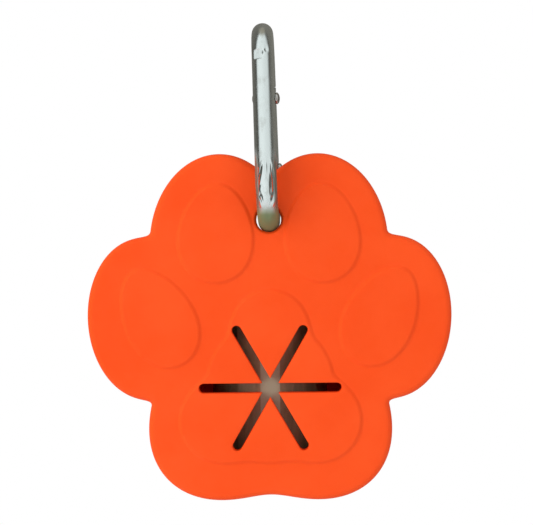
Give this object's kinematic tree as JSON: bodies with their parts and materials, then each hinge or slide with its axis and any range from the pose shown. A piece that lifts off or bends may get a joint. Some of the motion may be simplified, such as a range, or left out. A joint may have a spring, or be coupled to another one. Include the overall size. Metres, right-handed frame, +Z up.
{
  "type": "dog waste bag dispenser",
  "caption": "Soft paw-shaped waste bag dispenser with a star slot, a press-on rear pouch over an upright bag roll, and a steel snap hook.",
  "frame": {"origin": "inside top of the snap hook's loop, where a lead or ring carries the object", "axes": "+Z up along the hanging object, the paw's face towards -Y, +X to the right as seen from the front"},
  "size_m": [0.0904, 0.0459, 0.1189],
  "materials": {
    "silicone": "matte orange moulded silicone",
    "bag_film": "thin dark grey film, wound tight",
    "core_card": "plain wound cardboard",
    "plated_steel": "plated wire, slightly dulled",
    "pin_steel": "turned pin",
    "spring_steel": "spring wire"
  },
  "bodies": {
    "hook": {"hook_body": "plated_steel", "gate_rivet": "pin_steel"},
    "gate_arm": {"gate": "plated_steel", "latch_pin": "pin_steel", "gate_spring": "spring_steel"},
    "plunger": {"gate_plunger": "pin_steel"},
    "paw": {"front_shell": "silicone"},
    "pouch": {"rear_pouch": "silicone"},
    "roll": {"bag_roll": "bag_film", "leading_bag": "bag_film", "roll_core": "core_card"}
  },
  "joints": [
    {"name": "paw_swing", "type": "hinge", "parent": "hook", "child": "paw", "pos_m": [0.00103, -0.0028, -0.04394], "axis": [0, 1, 0], "range_deg": [-70, 70]},
    {"name": "gate_hinge", "type": "hinge", "parent": "hook", "child": "gate_arm", "pos_m": [0.00064, 0.00713, -0.01267], "axis": [-0.9987, 0.0436, -0.0262], "range_deg": [0, 23], "stiffness_Nm_per_rad": 0.05, "springref_deg": -17.19, "deforming": ["gate_spring"]},
    {"name": "plunger_slide", "type": "slide", "parent": "gate_arm", "child": "plunger", "axis": [0.0318, 0.1336, -0.9905], "range_m": [0, 0.00055]},
    {"name": "pouch_pull", "type": "slide", "parent": "paw", "child": "pouch", "axis": [0, 1, 0], "range_m": [0, 0.04]},
    {"name": "roll_spin", "type": "hinge", "parent": "paw", "child": "roll", "pos_m": [0.00103, 0.0149, -0.07899], "axis": [0, 0, 1], "continuous": true}
  ],
  "couplings": [
    {"joint": "plunger_slide", "follows": "gate_hinge", "m_per_rad": 0.001306}
  ]
}
